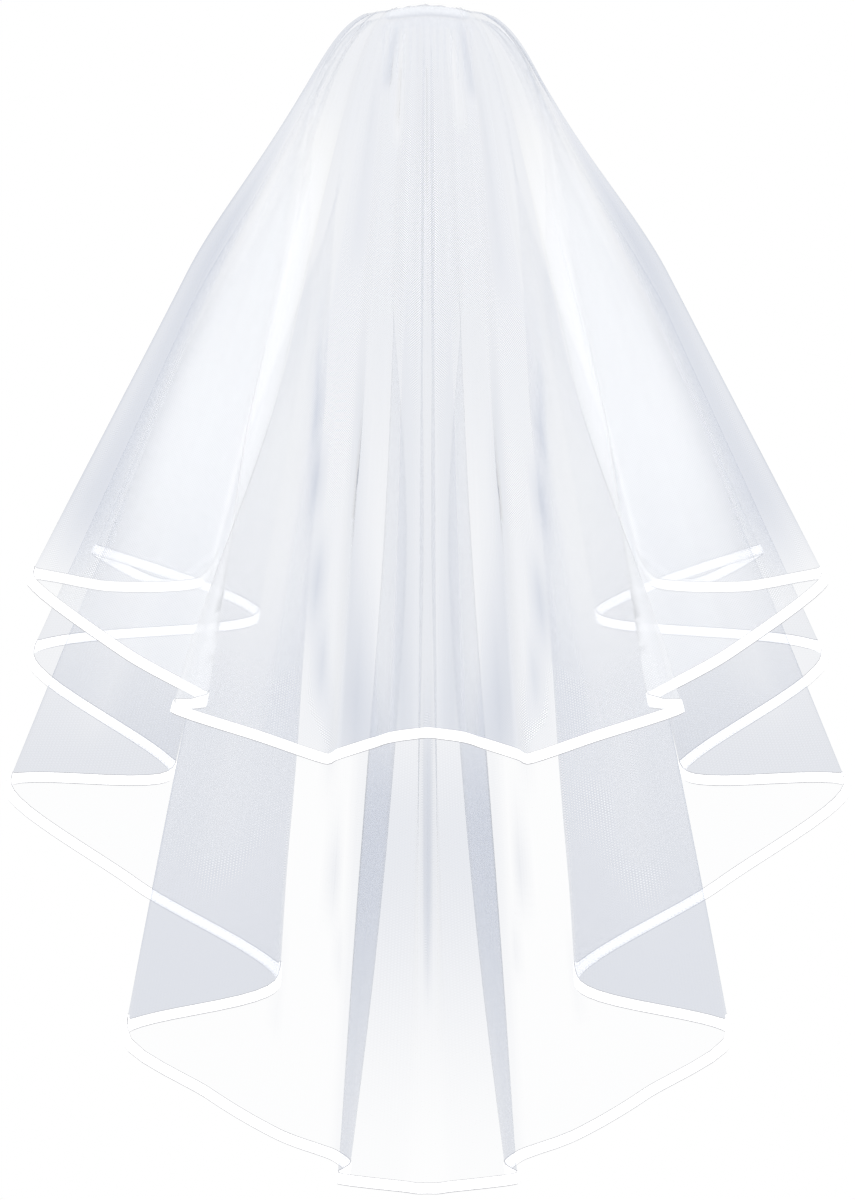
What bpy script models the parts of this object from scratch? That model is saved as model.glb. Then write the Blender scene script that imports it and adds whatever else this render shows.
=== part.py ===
"""Two-tier bridal veil with ribbon edges, as it hangs from its comb when it is worn.

Metres, +Z up. The origin is the middle of the comb's bar, where the hair holds the veil.
The back of the veil faces -Y and the wearer's face is on the +Y side.
Each tier is one sheet of net. Lines run over it from the gathers on the comb to the hem:
every line leaves the band round the comb, rounds the crown and falls to its point of the hem.
"""

import math
from collections import namedtuple

import bmesh
import bpy
from mathutils import Vector

MM = 0.001

# The net, the ribbon and the gap between pieces that are sewn to each other
WALL = 1.0 * MM
RIBBON_WIDTH = 6.6 * MM
RIBBON_THICKNESS = 1.0 * MM
SEAM_GAP = 0.3 * MM

# The band that the gathers are sewn to, an oval bar that dips towards its ends
BAND_HALF_LENGTH = 29.0 * MM
BAND_HALF_DEPTH = 4.4 * MM
BAND_TOP = 10.0 * MM
BAND_HEIGHT = 8.0 * MM
BAND_SIDES = 28
BAND_SHARP = math.radians(40)
BAND_MERGE = 0.001  # as a share of the half length
CROWN_BEND = 4.4  # drop in metres for each square metre of distance from the middle

# Where the cut edge of the gathers stands round the band
GATHER_HALF_LENGTH = 30.8 * MM
GATHER_HALF_DEPTH = 6.2 * MM
UPPER_GATHER_Z = 9.0 * MM
LOWER_GATHER_Z = 5.0 * MM
UPPER_GATHER_TURN = math.radians(90)
LOWER_GATHER_TURN = math.radians(112)

# The comb: a bar and tapered teeth that lean forward into the hair
COMB_HALF_LENGTH = 31.0 * MM
COMB_TOP = 1.7 * MM
COMB_BAR_HEIGHT = 6.0 * MM
COMB_THICKNESS = 1.8 * MM
COMB_TEETH = 14
COMB_TOOTH_LENGTH = 34.0 * MM
COMB_TOOTH_STEPS = 4
COMB_LEAN = 0.30
COMB_TIP_SHARE = 0.45
COMB_SHARP = math.radians(35)

# How a line spreads from the band while it drops: a round crown, then a straight fall
CROWN_SHARE = 0.171
CROWN_ROUND = 0.071
CROWN_POWER = 0.46
FALL_POWER = 1.264
CALM_REACH = 120 * MM  # length of hem over which the folds even out towards the crown

# Small gathers round the crown, one wave for each four lines
GATHER_WAVE = 4
GATHER_HEIGHT = 1.3 * MM
GATHER_BEND = 0.22
GATHER_FADE = 0.30
GATHER_END = 0.62
GATHER_RISE = 0.6  # how far the waves stand up as well as out

# Layers stand apart from each other before their folds overlap, further down the line
DEEP_FULL = 0.18

# The pleats that are drawn under their neighbours, from here to here down the line
TUCK_START = 0.22
TUCK_FULL = 0.60

# Long stretches of hem get a line close to each end, where the fold turns
LONG_STRETCH = 75 * MM
LONG_CUTS = (0.0, 0.12, 0.5, 0.88)
SHORT_CUTS = (0.0, 0.5)

# Neighbours of a stretch count as no further off than this many of its lengths, and the
# slope of a line at the hem is taken over this last share of it
NEIGHBOUR_REACH = 1.6
HEM_SHARE = 0.05

# Most of the gap to the next line that the ribbon on a front edge takes
FRONT_SHARE = 0.45

# One row for each turn of the hem, from the middle of the back to the front corner of the
# left half, in millimetres. side is away from the middle, deep is towards the face and
# drop is below the comb. The fold of a row starts and is full at shares of the line.
# tuck_side and tuck_deep draw the line under its neighbour half way down.
Turn = namedtuple("Turn", "name side deep drop starts full tuck_side tuck_deep")

UPPER_HEM = (
    Turn("middle", 0, -176, 483, 0.30, 0.80, 0, 0),
    Turn("inner wedge return", 8, -170, 484, 0.62, 1.00, 0, 0),
    Turn("inner wedge edge", 24, -182, 486, 0.62, 1.00, 0, 0),
    Turn("outer wedge return", 35, -166, 490, 0.60, 1.00, 0, 0),
    Turn("outer wedge edge", 58, -179, 497, 0.60, 1.00, 0, 0),
    Turn("hollow", 66, -168, 500, 0.50, 1.00, 0, 0),
    Turn("broad back", 108, -166, 486, 0.20, 0.60, 0, 0),
    Turn("small fold edge", 166, -155, 467, 0.62, 0.96, 0, 0),
    Turn("small fold return", 144, -138, 463, 0.62, 0.96, 0, 0),
    Turn("side slope", 200, -130, 431, 0.15, 0.60, 0, 0),
    Turn("side point", 263, -112, 383, 0.12, 0.55, 0, 0),
    Turn("behind the side", 208, -98, 389, 0.12, 0.55, 0, 0),
    Turn("corner", 152, -93, 387, 0.12, 0.55, 0, 0),
    Turn("front edge", 141, -78, 372, 0.12, 0.55, 0, 0),
)

LOWER_HEM = (
    Turn("middle", 0, -184, 775, 0.30, 0.90, 0, 0),
    Turn("middle pleat edge", 7, -184, 775, 0.30, 0.90, 1, -5),
    Turn("middle pleat return", 14, -184, 774, 0.30, 0.90, -6, 5),
    Turn("box edge", 58, -180, 769, 0.25, 0.90, -3, -3),
    Turn("box return", 51, -168, 765, 0.25, 0.90, -22, 5),
    Turn("beside the box", 62, -162, 756, 0.25, 0.90, 0, 2),
    Turn("soft back", 98, -150, 744, 0.25, 0.80, 0, 0),
    Turn("side of the back", 143, -140, 719, 0.20, 0.70, 0, 0),
    Turn("first point", 198, -128, 679, 0.16, 0.55, 9, 0),
    Turn("first inner turn", 98, -95, 649, 0.16, 0.55, 8, 0),
    Turn("second slope", 196, -72, 586, 0.16, 0.55, 0, 0),
    Turn("second point", 283, -45, 521, 0.16, 0.55, 0, 0),
    Turn("second inner turn", 173, -15, 514, 0.16, 0.55, 0, 0),
    Turn("third point", 273, 20, 434, 0.14, 0.55, 0, 0),
    Turn("third inner turn", 118, 50, 410, 0.20, 0.60, 0, 0),
    Turn("fourth point", 234, 85, 362, 0.26, 0.78, 0, 0),
    Turn("corner", 186, 110, 386, 0.14, 0.55, 0, 0),
    Turn("front edge", 148, 110, 364, 0.14, 0.55, 0, 0),
)

UPPER_ROWS = 13
LOWER_ROWS = 15
RIBBON_FIRST_ROW = 3

Line = namedtuple("Line", "hem starts full tuck")


def clear_scene():
    for old in list(bpy.data.objects):
        bpy.data.objects.remove(old, do_unlink=True)


def material(name, colour, roughness, alpha=1.0):
    made = bpy.data.materials.new(name)
    made.use_nodes = True
    shader = made.node_tree.nodes["Principled BSDF"]
    shader.inputs["Base Color"].default_value = (*colour, 1)
    shader.inputs["Roughness"].default_value = roughness
    shader.inputs["Metallic"].default_value = 0.0
    shader.inputs["Alpha"].default_value = alpha
    return made


def ease(value, start, full):
    share = min(1.0, max(0.0, (value - start) / (full - start)))
    return share * share * (3 - 2 * share)


def on_curve(before, a, b, after, share):
    """A point between a and b on the smooth curve through four neighbours."""
    square, cube = share * share, share**3
    return 0.5 * (
        2 * a
        + (b - before) * share
        + (2 * before - 5 * a + 4 * b - after) * square
        + (3 * a - before - 3 * b + after) * cube
    )


def half_lines(turns):
    """The lines of the left half, from the middle outwards, at and between the turns."""
    spots = [Vector((-t.side, t.deep, -t.drop)) * MM for t in turns]
    mirrored = Vector((turns[1].side, turns[1].deep, -turns[1].drop)) * MM
    spots = [mirrored, *spots, spots[-1] * 2 - spots[-2]]
    lines = []
    for index, (turn, following) in enumerate(zip(turns, turns[1:])):
        before, a, b, after = spots[index : index + 4]
        cuts = LONG_CUTS if (b - a).length > LONG_STRETCH else SHORT_CUTS
        # Neighbours further off than this would make the curve overshoot.
        reach = NEIGHBOUR_REACH * (b - a).length
        before = a + (before - a).normalized() * min(reach, (before - a).length)
        after = b + (after - b).normalized() * min(reach, (after - b).length)
        for cut in cuts:
            tuck_side = turn.tuck_side + (following.tuck_side - turn.tuck_side) * cut
            tuck_deep = turn.tuck_deep + (following.tuck_deep - turn.tuck_deep) * cut
            lines.append(
                Line(
                    on_curve(before, a, b, after, cut),
                    turn.starts + (following.starts - turn.starts) * cut,
                    turn.full + (following.full - turn.full) * cut,
                    Vector((-tuck_side, tuck_deep, 0)) * MM,
                )
            )
    last = turns[-1]
    lines.append(Line(spots[-2], last.starts, last.full, Vector((0, 0, 0))))
    return lines


def mirror_line(line):
    flip = Vector((-1, 1, 1))
    return Line(line.hem * flip, line.starts, line.full, line.tuck * flip)


def all_lines(turns):
    """Every line of a tier, from the left front edge round the back to the right one."""
    half = half_lines(turns)
    return half[:0:-1] + [mirror_line(line) for line in half]


def calm_hem(lines):
    """The hem with its folds evened out, which the crown spreads towards."""
    way = [0.0]
    for one, other in zip(lines, lines[1:]):
        way.append(way[-1] + (other.hem - one.hem).length)
    calm = []
    for here in way:
        total, weights = Vector((0, 0, 0)), 0.0
        for index, there in enumerate(way):
            reach = way[min(index + 1, len(way) - 1)] - way[max(index - 1, 0)]
            weight = reach * math.exp(-(((here - there) / CALM_REACH) ** 2))
            total += lines[index].hem * weight
            weights += weight
        calm.append(total / weights)
    return calm


def spread(fall):
    """The share of the way out that a line has gone when it has dropped by this share."""
    crown = (1 - math.exp(-fall / CROWN_ROUND)) ** CROWN_POWER
    return CROWN_SHARE * crown + (1 - CROWN_SHARE) * fall


def tier_points(turns, gather_z, gather_turn, rows):
    """The outer face of a tier as columns of points, each from its gather to its hem."""
    lines = all_lines(turns)
    calm = calm_hem(lines)
    count = len(lines)

    def place(index, share):
        line = lines[index]
        turn = gather_turn * (2 * index / (count - 1) - 1)
        side = GATHER_HALF_LENGTH * math.sin(turn)
        gather = Vector((side, -GATHER_HALF_DEPTH * math.cos(turn), gather_z - CROWN_BEND * side**2))
        goal = calm[index].lerp(line.hem, ease(share, line.starts, line.full))
        goal.y = calm[index].y + (line.hem.y - calm[index].y) * ease(share, 0, DEEP_FULL)
        fall = share**FALL_POWER
        out = spread(fall)
        step = goal - gather
        point = gather + Vector((step.x * out, step.y * out, step.z * fall))
        half_way = 4 * share * (1 - share)
        point.x += line.tuck.x * half_way * ease(share, TUCK_START, TUCK_FULL)
        point.y += line.tuck.y * half_way * ease(share, 0, DEEP_FULL)
        return point

    columns = []
    for index in range(count):
        down = (place(index, 1.0) - place(index, 1 - HEM_SHARE)) / HEM_SHARE
        slants = []
        for beside in (max(index - 1, 0), min(index + 1, count - 1)):
            along = lines[beside].hem - lines[index].hem
            if beside != index:
                slants.append(down.normalized().cross(along.normalized()).length)
        inner = 1 - RIBBON_WIDTH * len(slants) / sum(slants) / down.length
        shares = [inner * row / (rows - 2) for row in range(rows - 1)] + [1.0]
        columns.append([place(index, share) for share in shares])
    add_gathers(columns)
    for edge, second, third in ((0, 1, 2), (-1, -2, -3)):
        for row in range(rows):
            step = columns[third][row] - columns[edge][row]
            width = min(RIBBON_WIDTH, FRONT_SHARE * step.length)
            columns[second][row] = columns[edge][row] + step.normalized() * width
    return columns


def add_gathers(columns):
    """Small waves round the crown, lower where the lines lie close together."""
    count, rows = len(columns), len(columns[0])
    plain = [list(column) for column in columns]
    for index in range(1, count - 1):
        wave = math.cos(2 * math.pi * index / GATHER_WAVE)
        for row in range(1, rows - 2):
            point = plain[index][row]
            steps = [(plain[index + side][row] - point).length for side in (-1, 1)]
            wave_length = GATHER_WAVE * min(steps)
            height = min(GATHER_HEIGHT, GATHER_BEND / MM * (wave_length / (2 * math.pi)) ** 2)
            height *= 1 - ease(row / (rows - 1), GATHER_FADE, GATHER_END)
            way_out = Vector((point.x, point.y, GATHER_RISE * math.hypot(point.x, point.y))).normalized()
            columns[index][row] = point + way_out * height * wave


def outward_at(columns, column, row):
    """The way out of the sheet, with equal shares from both sides, so a sharp fold turns evenly."""
    here = columns[column]
    down = here[min(row + 1, len(here) - 1)] - here[max(row - 1, 0)]
    total = Vector((0, 0, 0))
    for before, after in ((column - 1, column), (column, column + 1)):
        if 0 <= before and after < len(columns):
            across = columns[after][row] - columns[before][row]
            total += down.cross(across).normalized()
    return total.normalized()


def sheet_mesh(name, columns, lift, thickness, border_only=False):
    """A wall on the columns, from lift out by thickness along the normals of the whole sheet."""
    across, down = len(columns) - 1, len(columns[0]) - 1
    mesh = bmesh.new()
    outward = mesh.verts.layers.float_vector.new("outward")
    bmesh.ops.create_grid(mesh, x_segments=across, y_segments=down, size=1)
    cell = {}
    for vert in mesh.verts:
        column = round((vert.co.x + 1) / 2 * across)
        row = round((vert.co.y + 1) / 2 * down)
        cell[vert] = (column, row)
        vert[outward] = outward_at(columns, column, row)
        vert.co = columns[column][row] + vert[outward] * lift
    if border_only:
        inner = []
        for face in mesh.faces:
            first = min(cell[v][0] for v in face.verts)
            row = min(cell[v][1] for v in face.verts)
            on_hem = row == down - 1
            on_front = first in (0, across - 1) and row >= RIBBON_FIRST_ROW
            if not (on_hem or on_front):
                inner.append(face)
        bmesh.ops.delete(mesh, geom=inner, context="FACES")
    grown = bmesh.ops.extrude_face_region(mesh, geom=mesh.faces[:], use_keep_orig=True)
    for vert in grown["geom"]:
        if isinstance(vert, bmesh.types.BMVert):
            vert.co += vert[outward] * thickness
    bmesh.ops.recalc_face_normals(mesh, faces=mesh.faces[:])
    made = bpy.data.meshes.new(name)
    mesh.to_mesh(made)
    mesh.free()
    return made


def add_object(name, mesh, collection, finish):
    made = bpy.data.objects.new(name, mesh)
    collection.objects.link(made)
    mesh.materials.append(finish)
    mesh.shade_smooth()
    return made


def make_tier(name, columns, collection, finish):
    return add_object(name, sheet_mesh(name, columns, -WALL, WALL), collection, finish)


def make_ribbon(name, columns, collection, finish):
    strip = sheet_mesh(name, columns, SEAM_GAP, RIBBON_THICKNESS, border_only=True)
    return add_object(name, strip, collection, finish)


def make_band(collection, finish):
    """An oval bar, dipped towards its ends like the crown of the head."""
    mesh = bmesh.new()
    bmesh.ops.create_cone(
        mesh, cap_ends=True, cap_tris=False, segments=BAND_SIDES, radius1=1, radius2=1, depth=1
    )
    # Cuts across the bar at each corner let its top and bottom follow the dip.
    half = BAND_SIDES // 2
    for side in (math.cos(math.pi * step / half) for step in range(1, half)):
        bmesh.ops.bisect_plane(
            mesh,
            geom=mesh.verts[:] + mesh.edges[:] + mesh.faces[:],
            plane_co=(side, 0, 0),
            plane_no=(1, 0, 0),
            dist=BAND_MERGE,
        )
    for vert in mesh.verts:
        side = vert.co.x * BAND_HALF_LENGTH
        lift = BAND_TOP + (vert.co.z - 0.5) * BAND_HEIGHT
        vert.co = (side, vert.co.y * BAND_HALF_DEPTH, lift - CROWN_BEND * side**2)
    made = bpy.data.meshes.new("gather_band")
    mesh.to_mesh(made)
    mesh.free()
    band = add_object("gather_band", made, collection, finish)
    band.data.set_sharp_from_angle(angle=BAND_SHARP)
    return band


def make_comb(collection, finish):
    """A strip of cells: every cell of the bar, and below it every second one as a tooth."""
    across = 2 * COMB_TEETH - 1
    down = 1 + COMB_TOOTH_STEPS
    pitch = 2 * COMB_HALF_LENGTH / across
    mesh = bmesh.new()
    bmesh.ops.create_grid(mesh, x_segments=across, y_segments=down, size=1)
    cell = {}
    for vert in mesh.verts:
        column = round((vert.co.x + 1) / 2 * across)
        row = round((vert.co.y + 1) / 2 * down)
        cell[vert] = (column, row)
        side = -COMB_HALF_LENGTH + pitch * column
        drop = COMB_BAR_HEIGHT if row else 0.0
        if row > 1:
            step = (row - 1) / COMB_TOOTH_STEPS
            drop += COMB_TOOTH_LENGTH * step
            centre = -COMB_HALF_LENGTH + pitch * (column // 2 * 2 + 0.5)
            side = centre + (side - centre) * (1 - (1 - COMB_TIP_SHARE) * step**2)
        height = COMB_TOP - CROWN_BEND * side**2 - drop
        vert.co = (side, COMB_LEAN * drop, height)
    gaps = []
    for face in mesh.faces:
        first = min(cell[v][0] for v in face.verts)
        row = min(cell[v][1] for v in face.verts)
        if row and first % 2:
            gaps.append(face)
    bmesh.ops.delete(mesh, geom=gaps, context="FACES")
    made = bpy.data.meshes.new("comb")
    mesh.to_mesh(made)
    mesh.free()
    comb = add_object("comb", made, collection, finish)
    wall = comb.modifiers.new("Wall", "SOLIDIFY")
    wall.thickness = COMB_THICKNESS
    wall.offset = 0
    comb.data.set_sharp_from_angle(angle=COMB_SHARP)
    return comb


def main():
    clear_scene()
    collection = bpy.data.collections.new("bridal_veil")
    bpy.context.scene.collection.children.link(collection)
    upper = tier_points(UPPER_HEM, UPPER_GATHER_Z, UPPER_GATHER_TURN, UPPER_ROWS)
    lower = tier_points(LOWER_HEM, LOWER_GATHER_Z, LOWER_GATHER_TURN, LOWER_ROWS)
    make_tier("upper_tier", upper, collection, material("upper net", (0.90, 0.91, 0.95), 0.6, alpha=0.5))
    make_tier("lower_tier", lower, collection, material("lower net", (0.88, 0.89, 0.94), 0.6, alpha=0.5))
    make_ribbon("upper_ribbon", upper, collection, material("upper satin", (0.95, 0.95, 0.95), 0.35))
    make_ribbon("lower_ribbon", lower, collection, material("lower satin", (0.95, 0.95, 0.95), 0.35))
    make_band(collection, material("band satin", (0.93, 0.93, 0.94), 0.4))
    make_comb(collection, material("comb plastic", (0.92, 0.92, 0.92), 0.25))


main()
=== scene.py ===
import math

import bmesh
import bpy
import numpy as np
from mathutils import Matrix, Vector


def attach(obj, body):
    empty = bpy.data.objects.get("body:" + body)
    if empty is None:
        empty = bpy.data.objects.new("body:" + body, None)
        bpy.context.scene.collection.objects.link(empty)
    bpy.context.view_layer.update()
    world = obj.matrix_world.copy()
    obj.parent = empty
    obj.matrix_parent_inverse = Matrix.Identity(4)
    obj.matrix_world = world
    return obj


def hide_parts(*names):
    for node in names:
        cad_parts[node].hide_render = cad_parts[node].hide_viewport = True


# Two-tier bridal veil: sheer net, satin ribbon on every edge, gathered on a comb.
# Metres, +Z up, the comb at the origin, the back of the veil towards -Y.

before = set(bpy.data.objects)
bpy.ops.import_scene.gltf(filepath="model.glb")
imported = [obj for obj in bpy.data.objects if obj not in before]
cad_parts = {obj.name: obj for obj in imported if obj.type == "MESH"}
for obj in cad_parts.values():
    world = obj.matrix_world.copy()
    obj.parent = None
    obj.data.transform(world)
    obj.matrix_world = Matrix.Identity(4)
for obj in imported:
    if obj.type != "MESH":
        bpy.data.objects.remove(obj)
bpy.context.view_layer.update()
print("frame loaded")

mm = 0.001

# Camera: a little below the middle of the veil, far enough for a nearly flat view
view = {"distance": 3.2, "height": -0.3946, "frameHeight": 0.816, "sensor": 36.0}

camData = bpy.data.cameras.new("camera")
camData.sensor_fit = "VERTICAL"
camData.sensor_height = view["sensor"]
camData.lens = view["sensor"] * view["distance"] / view["frameHeight"]
camera = bpy.data.objects.new("camera", camData)
bpy.context.scene.collection.objects.link(camera)
camera.location = (0, -view["distance"], view["height"])
camera.rotation_euler = (math.radians(90), 0, 0)
bpy.context.scene.camera = camera

# Room: white all round, with soft blue-white air and one broad soft lamp from the back of the veil
room = {
    "white": 1.0,
    "air": (0.985, 0.99, 1.0),
    "airStrength": 1.0,
    "lampPower": 44.0,
    "lampSize": 2.4,
    "lampPlace": (0.0, -3.0, 1.3),
    "lampColour": (1.0, 0.99, 0.97),
    "layersSeenThrough": 64,
    "floor": -1.62,
    "radius": 7.0,
    "height": 5.5,
    "corner": 1.6,
    "cornerSteps": 12,
    "roundSteps": 96,
}


def newMaterial(name):
    mat = bpy.data.materials.new(name)
    mat.use_nodes = True
    nodes = mat.node_tree.nodes
    links = mat.node_tree.links
    return mat, nodes, links, nodes["Principled BSDF"]


def addNode(nodes, kind, **values):
    node = nodes.new(kind)
    for key, value in values.items():
        setattr(node, key, value)
    return node


def mathNode(nodes, links, operation, first, second=None, clamp=False):
    node = addNode(nodes, "ShaderNodeMath", operation=operation, use_clamp=clamp)
    for slot, value in enumerate((first, second)):
        if value is None:
            continue
        if isinstance(value, (int, float)):
            node.inputs[slot].default_value = value
        else:
            links.new(value, node.inputs[slot])
    return node.outputs[0]


def meshObject(name, bm):
    mesh = bpy.data.meshes.new(name)
    bm.to_mesh(mesh)
    bm.free()
    obj = bpy.data.objects.new(name, mesh)
    bpy.context.scene.collection.objects.link(obj)
    return obj


def makeRoom():
    # a floor that turns up into a round wall, so there is no horizon from any side
    bm = bmesh.new()
    corner, radius, floor = room["corner"], room["radius"], room["floor"]
    profile = [(0.0, floor), (radius - corner, floor)]
    for step in range(1, room["cornerSteps"] + 1):
        turn = math.radians(90) * step / room["cornerSteps"]
        out = radius - corner + corner * math.sin(turn)
        profile.append((out, floor + corner * (1 - math.cos(turn))))
    profile.append((radius, room["height"]))
    verts = [bm.verts.new((x, 0, z)) for x, z in profile]
    edges = [bm.edges.new(pair) for pair in zip(verts, verts[1:])]
    bmesh.ops.spin(
        bm, geom=verts + edges, cent=(0, 0, 0), axis=(0, 0, 1), angle=math.radians(360),
        steps=room["roundSteps"], use_merge=True,
    )
    bmesh.ops.remove_doubles(bm, verts=bm.verts[:], dist=1e-5)
    bmesh.ops.recalc_face_normals(bm, faces=bm.faces[:])
    sweep = meshObject("floor_and_wall", bm)
    sweep.data.shade_smooth()
    mat, nodes, links, shader = newMaterial("white room")
    glowAndPaintedShade = addNode(nodes, "ShaderNodeEmission")
    glowAndPaintedShade.inputs["Color"].default_value = (1, 1, 1, 1)
    glowAndPaintedShade.inputs["Strength"].default_value = room["white"]
    nodes.remove(shader)
    links.new(glowAndPaintedShade.outputs[0], nodes["Material Output"].inputs["Surface"])
    sweep.data.materials.append(mat)
    # the lamp and the air light the veil, not the wall
    sweep.visible_diffuse = False
    sweep.visible_glossy = False
    sweep.visible_shadow = False

    world = bpy.data.worlds.new("air")
    bpy.context.scene.world = world
    world.use_nodes = True
    air = world.node_tree.nodes["Background"]
    air.inputs["Color"].default_value = (*room["air"], 1)
    air.inputs["Strength"].default_value = room["airStrength"]

    lampData = bpy.data.lights.new("soft lamp", "AREA")
    lampData.shape = "DISK"
    lampData.size = room["lampSize"]
    lampData.energy = room["lampPower"]
    lampData.color = room["lampColour"]
    lamp = bpy.data.objects.new("soft_lamp", lampData)
    bpy.context.scene.collection.objects.link(lamp)
    lamp.location = room["lampPlace"]
    aim = Vector((0, 0, view["height"])) - lamp.location
    lamp.rotation_euler = aim.to_track_quat("-Z", "Y").to_euler()

    scene = bpy.context.scene
    scene.view_settings.view_transform = "Standard"
    scene.view_settings.look = "None"
    scene.cycles.transparent_max_bounces = room["layersSeenThrough"]


makeRoom()
print("room and camera ready")

# How both sheets run from the comb to the hem. The numbers match the solids they dress.
drape = {
    "crownBend": 4.4,  # drop in metres for each square metre away from the middle
    "gatherHalfLength": 30.8 * mm,
    "gatherHalfDepth": 6.2 * mm,
    "crownShare": 0.171,
    "crownRound": 0.071,
    "crownPower": 0.46,
    "fallPower": 1.264,
    "calmReach": 120 * mm,
    "seatReach": 12 * mm,
    "lookReach": 4 * mm,
    "deepFull": 0.18,
    "tuckStart": 0.22,
    "tuckFull": 0.60,
    "longStretch": 75 * mm,
    "longCuts": (0.0, 0.12, 0.5, 0.88, 1.0),
    "shortCuts": (0.0, 0.5, 1.0),
    "lineStep": 7.5 * mm,
    "turnGather": 0.09,  # points gather at the turns of a fold, which are tighter than its flanks
    "neighbourReach": 1.6,  # most pull of a turn on the next stretch, in lengths of that stretch
    "sink": -0.4 * mm,  # the net lies in the middle of the solid's wall
}

# Hem turns of one half, from the middle of the back to the front corner, in millimetres:
# side, deep, drop, where the fold starts and is full as shares of the line, tuck sideways and deep
upperTurns = (
    (0, -176, 483, 0.30, 0.80, 0, 0),
    (8, -170, 484, 0.62, 1.00, 0, 0),
    (24, -182, 486, 0.62, 1.00, 0, 0),
    (35, -166, 490, 0.60, 1.00, 0, 0),
    (58, -179, 497, 0.60, 1.00, 0, 0),
    (66, -168, 500, 0.50, 1.00, 0, 0),
    (108, -166, 486, 0.20, 0.60, 0, 0),
    (166, -155, 467, 0.62, 0.96, 0, 0),
    (144, -138, 463, 0.62, 0.96, 0, 0),
    (200, -130, 431, 0.15, 0.60, 0, 0),
    (263, -112, 383, 0.12, 0.55, 0, 0),
    (208, -98, 389, 0.12, 0.55, 0, 0),
    (152, -93, 387, 0.12, 0.55, 0, 0),
    (141, -78, 372, 0.12, 0.55, 0, 0),
)
lowerTurns = (
    (0, -184, 775, 0.30, 0.90, 0, 0),
    (7, -184, 775, 0.30, 0.90, 1, -5),
    (14, -184, 774, 0.30, 0.90, -6, 5),
    (58, -180, 769, 0.25, 0.90, -3, -3),
    (51, -168, 765, 0.25, 0.90, -22, 5),
    (62, -162, 756, 0.25, 0.90, 0, 2),
    (98, -150, 744, 0.25, 0.80, 0, 0),
    (143, -140, 719, 0.20, 0.70, 0, 0),
    (198, -128, 679, 0.16, 0.55, 9, 0),
    (98, -95, 649, 0.16, 0.55, 8, 0),
    (196, -72, 586, 0.16, 0.55, 0, 0),
    (283, -45, 521, 0.16, 0.55, 0, 0),
    (173, -15, 514, 0.16, 0.55, 0, 0),
    (273, 20, 434, 0.14, 0.55, 0, 0),
    (118, 50, 410, 0.20, 0.60, 0, 0),
    (234, 85, 362, 0.26, 0.78, 0, 0),
    (186, 110, 386, 0.14, 0.55, 0, 0),
    (148, 110, 364, 0.14, 0.55, 0, 0),
)

# How thick the net looks and how bright it is painted, as painted light and shade, on the stretch that
# begins at each turn, at four shares of the line: below the crown, half way, above the hem and at the
# hem
upperShares = (0.12, 0.45, 0.75, 1.0)
upperLook = (
    ((0.40, 0.38, 0.30, 0.30), (0.54, 0.54, 0.54, 0.56)),
    ((0.40, 0.38, 0.42, 0.52), (0.54, 0.54, 0.54, 0.53)),
    ((0.40, 0.38, 0.26, 0.30), (0.54, 0.54, 0.58, 0.58)),
    ((0.40, 0.38, 0.30, 0.54), (0.54, 0.54, 0.54, 0.49)),
    ((0.40, 0.40, 0.38, 0.38), (0.54, 0.54, 0.54, 0.55)),
    ((0.40, 0.40, 0.36, 0.32), (0.54, 0.54, 0.57, 0.58)),
    ((0.40, 0.44, 0.42, 0.36), (0.54, 0.60, 0.65, 0.63)),
    ((0.38, 0.46, 0.46, 0.46), (0.56, 0.77, 0.80, 0.82)),
    ((0.36, 0.44, 0.44, 0.40), (0.55, 0.78, 0.80, 0.78)),
    ((0.34, 0.42, 0.42, 0.36), (0.54, 0.76, 0.80, 0.74)),
    ((0.22, 0.16, 0.12, 0.12), (0.52, 0.53, 0.54, 0.54)),
    ((0.18, 0.12, 0.10, 0.10), (0.52, 0.54, 0.56, 0.56)),
    ((0.14, 0.10, 0.12, 0.14), (0.54, 0.56, 0.56, 0.56)),
    ((0.14, 0.10, 0.12, 0.14), (0.54, 0.56, 0.56, 0.56)),
)
lowerShares = (0.12, 0.62, 0.77, 1.0)
lowerLook = (
    ((0.16, 0.18, 0.36, 0.03), (0.56, 0.52, 0.47, 0.50)),
    ((0.16, 0.18, 0.36, 0.03), (0.56, 0.52, 0.47, 0.50)),
    ((0.16, 0.18, 0.42, 0.06), (0.56, 0.52, 0.47, 0.50)),
    ((0.14, 0.16, 0.45, 0.32), (0.56, 0.52, 0.44, 0.43)),
    ((0.14, 0.12, 0.26, 0.14), (0.56, 0.52, 0.42, 0.44)),
    ((0.12, 0.08, 0.05, 0.04), (0.56, 0.54, 0.50, 0.50)),
    ((0.12, 0.10, 0.05, 0.04), (0.56, 0.52, 0.50, 0.50)),
    ((0.12, 0.12, 0.05, 0.04), (0.56, 0.52, 0.50, 0.50)),
    ((0.12, 0.18, 0.44, 0.50), (0.52, 0.52, 0.46, 0.44)),
    ((0.10, 0.08, 0.05, 0.04), (0.54, 0.52, 0.50, 0.50)),
    ((0.08, 0.07, 0.05, 0.04), (0.54, 0.52, 0.50, 0.50)),
    ((0.10, 0.12, 0.20, 0.40), (0.52, 0.50, 0.46, 0.42)),
    ((0.08, 0.08, 0.12, 0.22), (0.52, 0.52, 0.50, 0.44)),
    ((0.08, 0.08, 0.10, 0.14), (0.52, 0.54, 0.54, 0.50)),
    ((0.10, 0.22, 0.26, 0.22), (0.58, 0.78, 0.80, 0.74)),
    ((0.10, 0.22, 0.24, 0.20), (0.58, 0.78, 0.80, 0.74)),
    ((0.10, 0.22, 0.24, 0.20), (0.58, 0.78, 0.80, 0.74)),
    ((0.10, 0.22, 0.24, 0.20), (0.58, 0.78, 0.80, 0.74)),
)
lookLimits = (0.02, 0.95)


def ease(value, start, full):
    share = np.clip((value - start) / (full - start), 0, 1)
    return share * share * (3 - 2 * share)


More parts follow.
